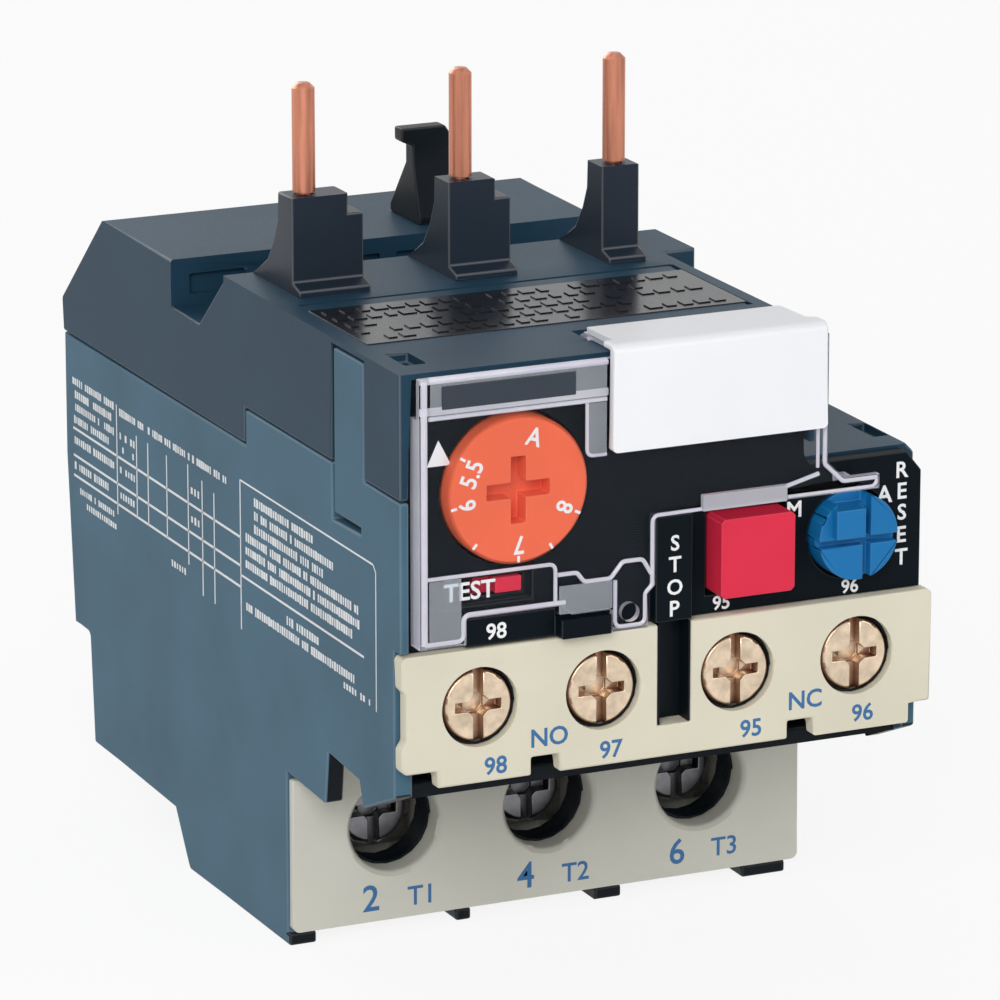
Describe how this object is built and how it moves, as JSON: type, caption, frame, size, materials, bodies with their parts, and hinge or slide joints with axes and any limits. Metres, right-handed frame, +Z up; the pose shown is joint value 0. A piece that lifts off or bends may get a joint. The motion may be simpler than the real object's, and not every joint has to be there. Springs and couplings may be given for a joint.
{
  "type": "thermal overload relay",
  "caption": "Thermal overload relay with plug-in pins, hinged clear cover, setting dial, stop and reset buttons, and screw terminals.",
  "frame": {"origin": "middle of the bounding box in X and Y, at the height of the feet", "axes": "+X to the right seen from the front, +Y from the front towards the rear, +Z up along the plug-in pins"},
  "size_m": [0.045, 0.0718, 0.0682],
  "materials": {
    "case_slate": "fine matt moulding",
    "case_dark": "fine matt moulding",
    "panel_black": "fine matt moulding",
    "block_beige": "fine matt moulding",
    "block_grey": "fine matt moulding",
    "clear_plastic": "clear moulding",
    "steel": "plain",
    "white_plastic": "smooth",
    "orange_plastic": "fine matt moulding",
    "red_plastic": "fine matt moulding",
    "blue_plastic": "fine matt moulding",
    "natural_plastic": "fine matt moulding",
    "copper": "plain",
    "dark_steel": "plain",
    "brassy_steel": "plain",
    "heater_tape": "plain"
  },
  "bodies": {
    "case": {"contact_blade_1": "copper", "contact_blade_2": "copper", "contact_blade_3": "copper", "contact_blade_4": "copper", "contactor_hook": "panel_black", "control_terminal_block": "block_beige", "cover_hinge_pin": "steel", "fascia_panel": "panel_black", "line_pin_1": "copper", "line_pin_2": "copper", "line_pin_3": "copper", "load_lead_1": "copper", "load_lead_2": "copper", "load_lead_3": "copper", "lower_case": "case_slate", "pin_shroud_1": "panel_black", "pin_shroud_2": "panel_black", "pin_shroud_3": "panel_black", "power_terminal_block": "block_grey", "trip_lever_pin": "steel", "upper_case": "case_dark"},
    "cover": {"front_cover": "clear_plastic", "marker_plate": "white_plastic"},
    "dial": {"setting_dial": "orange_plastic", "dial_cam": "orange_plastic"},
    "stop": {"stop_button": "red_plastic", "stop_spring": "steel"},
    "reset_stem": {"reset_plunger": "blue_plastic", "reset_spring": "steel"},
    "reset_head": {"reset_knob": "blue_plastic"},
    "slide": {"trip_slide": "natural_plastic"},
    "lever": {"trip_lever": "natural_plastic"},
    "carrier": {"contact_carrier": "natural_plastic", "nc_bridge": "copper", "no_bridge": "copper"},
    "flag": {"test_flag": "red_plastic"},
    "bimetal_1": {"bimetal_1": "steel", "heater_1": "heater_tape"},
    "bimetal_2": {"bimetal_2": "steel", "heater_2": "heater_tape"},
    "bimetal_3": {"bimetal_3": "steel", "heater_3": "heater_tape"},
    "power_clamp_1": {"power_clamp_1": "steel"},
    "power_screw_1": {"power_screw_1": "dark_steel"},
    "power_clamp_2": {"power_clamp_2": "steel"},
    "power_screw_2": {"power_screw_2": "dark_steel"},
    "power_clamp_3": {"power_clamp_3": "steel"},
    "power_screw_3": {"power_screw_3": "dark_steel"},
    "control_clamp_1": {"control_clamp_1": "steel"},
    "control_screw_1": {"control_screw_1": "brassy_steel"},
    "control_clamp_2": {"control_clamp_2": "steel"},
    "control_screw_2": {"control_screw_2": "brassy_steel"},
    "control_clamp_3": {"control_clamp_3": "steel"},
    "control_screw_3": {"control_screw_3": "brassy_steel"},
    "control_clamp_4": {"control_clamp_4": "steel"},
    "control_screw_4": {"control_screw_4": "brassy_steel"}
  },
  "joints": [
    {"name": "cover_hinge", "type": "hinge", "parent": "case", "child": "cover", "pos_m": [0, -0.0289, 0.0511], "axis": [-1, 0, 0], "range_deg": [0, 100]},
    {"name": "dial_turn", "type": "hinge", "parent": "case", "child": "dial", "pos_m": [-0.0129, -0.0341, 0.042], "axis": [0, 1, 0], "range_deg": [0, 178]},
    {"name": "stop_press", "type": "slide", "parent": "case", "child": "stop", "axis": [0, 1, 0], "range_m": [0, 0.002], "stiffness_N_per_m": 300, "springref_m": -0.001},
    {"name": "reset_press", "type": "slide", "parent": "case", "child": "reset_stem", "axis": [0, 1, 0], "range_m": [0, 0.002], "stiffness_N_per_m": 300, "springref_m": -0.001},
    {"name": "reset_turn", "type": "hinge", "parent": "reset_stem", "child": "reset_head", "pos_m": [0.0157, -0.0341, 0.035], "axis": [0, 1, 0], "range_deg": [0, 90]},
    {"name": "trip_travel", "type": "slide", "parent": "case", "child": "slide", "axis": [1, 0, 0], "range_m": [0, 0.0012]},
    {"name": "bimetal_1_bend", "type": "hinge", "parent": "case", "child": "bimetal_1", "pos_m": [-0.01345, 0.0214, 0.0086], "axis": [0, 1, 0], "range_deg": [0, 2.5]},
    {"name": "bimetal_2_bend", "type": "hinge", "parent": "case", "child": "bimetal_2", "pos_m": [0, 0.0214, 0.0086], "axis": [0, 1, 0], "range_deg": [0, 2.5]},
    {"name": "bimetal_3_bend", "type": "hinge", "parent": "case", "child": "bimetal_3", "pos_m": [0.01345, 0.0214, 0.0086], "axis": [0, 1, 0], "range_deg": [0, 2.5]},
    {"name": "lever_swing", "type": "hinge", "parent": "case", "child": "lever", "pos_m": [0.0146, -0.0091, 0], "axis": [0, 0, 1], "range_deg": [-12, 0]},
    {"name": "contacts_travel", "type": "slide", "parent": "case", "child": "carrier", "axis": [0, 1, 0], "range_m": [0, 0.00145]},
    {"name": "flag_travel", "type": "slide", "parent": "case", "child": "flag", "axis": [-1, 0, 0], "range_m": [0, 0.00245]},
    {"name": "power_clamp_1_lift", "type": "slide", "parent": "case", "child": "power_clamp_1", "axis": [0, -1, 0], "range_m": [0, 0.0021]},
    {"name": "power_screw_1_turn", "type": "hinge", "parent": "power_clamp_1", "child": "power_screw_1", "pos_m": [-0.01345, -0.0341, 0.0089], "axis": [0, -1, 0], "range_deg": [0, 1100]},
    {"name": "power_clamp_2_lift", "type": "slide", "parent": "case", "child": "power_clamp_2", "axis": [0, -1, 0], "range_m": [0, 0.0021]},
    {"name": "power_screw_2_turn", "type": "hinge", "parent": "power_clamp_2", "child": "power_screw_2", "pos_m": [0, -0.0341, 0.0089], "axis": [0, -1, 0], "range_deg": [0, 1100]},
    {"name": "power_clamp_3_lift", "type": "slide", "parent": "case", "child": "power_clamp_3", "axis": [0, -1, 0], "range_m": [0, 0.0021]},
    {"name": "power_screw_3_turn", "type": "hinge", "parent": "power_clamp_3", "child": "power_screw_3", "pos_m": [0.01345, -0.0341, 0.0089], "axis": [0, -1, 0], "range_deg": [0, 1100]},
    {"name": "control_clamp_1_lift", "type": "slide", "parent": "case", "child": "control_clamp_1", "axis": [0, -1, 0], "range_m": [0, 0.0015]},
    {"name": "control_screw_1_turn", "type": "hinge", "parent": "control_clamp_1", "child": "control_screw_1", "pos_m": [-0.016, -0.0341, 0.0253], "axis": [0, -1, 0], "range_deg": [0, 1100]},
    {"name": "control_clamp_2_lift", "type": "slide", "parent": "case", "child": "control_clamp_2", "axis": [0, -1, 0], "range_m": [0, 0.0015]},
    {"name": "control_screw_2_turn", "type": "hinge", "parent": "control_clamp_2", "child": "control_screw_2", "pos_m": [-0.0057, -0.0341, 0.0253], "axis": [0, -1, 0], "range_deg": [0, 1100]},
    {"name": "control_clamp_3_lift", "type": "slide", "parent": "case", "child": "control_clamp_3", "axis": [0, -1, 0], "range_m": [0, 0.0015]},
    {"name": "control_screw_3_turn", "type": "hinge", "parent": "control_clamp_3", "child": "control_screw_3", "pos_m": [0.0057, -0.0341, 0.0253], "axis": [0, -1, 0], "range_deg": [0, 1100]},
    {"name": "control_clamp_4_lift", "type": "slide", "parent": "case", "child": "control_clamp_4", "axis": [0, -1, 0], "range_m": [0, 0.0015]},
    {"name": "control_screw_4_turn", "type": "hinge", "parent": "control_clamp_4", "child": "control_screw_4", "pos_m": [0.016, -0.0341, 0.0253], "axis": [0, -1, 0], "range_deg": [0, 1100]}
  ],
  "couplings": [
    {"joint": "bimetal_1_bend", "follows": "trip_travel", "rad_per_m": 35.583},
    {"joint": "bimetal_2_bend", "follows": "trip_travel", "rad_per_m": 35.583},
    {"joint": "bimetal_3_bend", "follows": "trip_travel", "rad_per_m": 35.583},
    {"joint": "lever_swing", "follows": "trip_travel", "rad_per_m": -165},
    {"joint": "contacts_travel", "follows": "trip_travel", "ratio": 1.1667},
    {"joint": "flag_travel", "follows": "trip_travel", "ratio": 2},
    {"joint": "power_screw_1_turn", "follows": "power_clamp_1_lift", "rad_per_m": 8976},
    {"joint": "power_screw_2_turn", "follows": "power_clamp_2_lift", "rad_per_m": 8976},
    {"joint": "power_screw_3_turn", "follows": "power_clamp_3_lift", "rad_per_m": 8976},
    {"joint": "control_screw_1_turn", "follows": "control_clamp_1_lift", "rad_per_m": 12566},
    {"joint": "control_screw_2_turn", "follows": "control_clamp_2_lift", "rad_per_m": 12566},
    {"joint": "control_screw_3_turn", "follows": "control_clamp_3_lift", "rad_per_m": 12566},
    {"joint": "control_screw_4_turn", "follows": "control_clamp_4_lift", "rad_per_m": 12566}
  ]
}
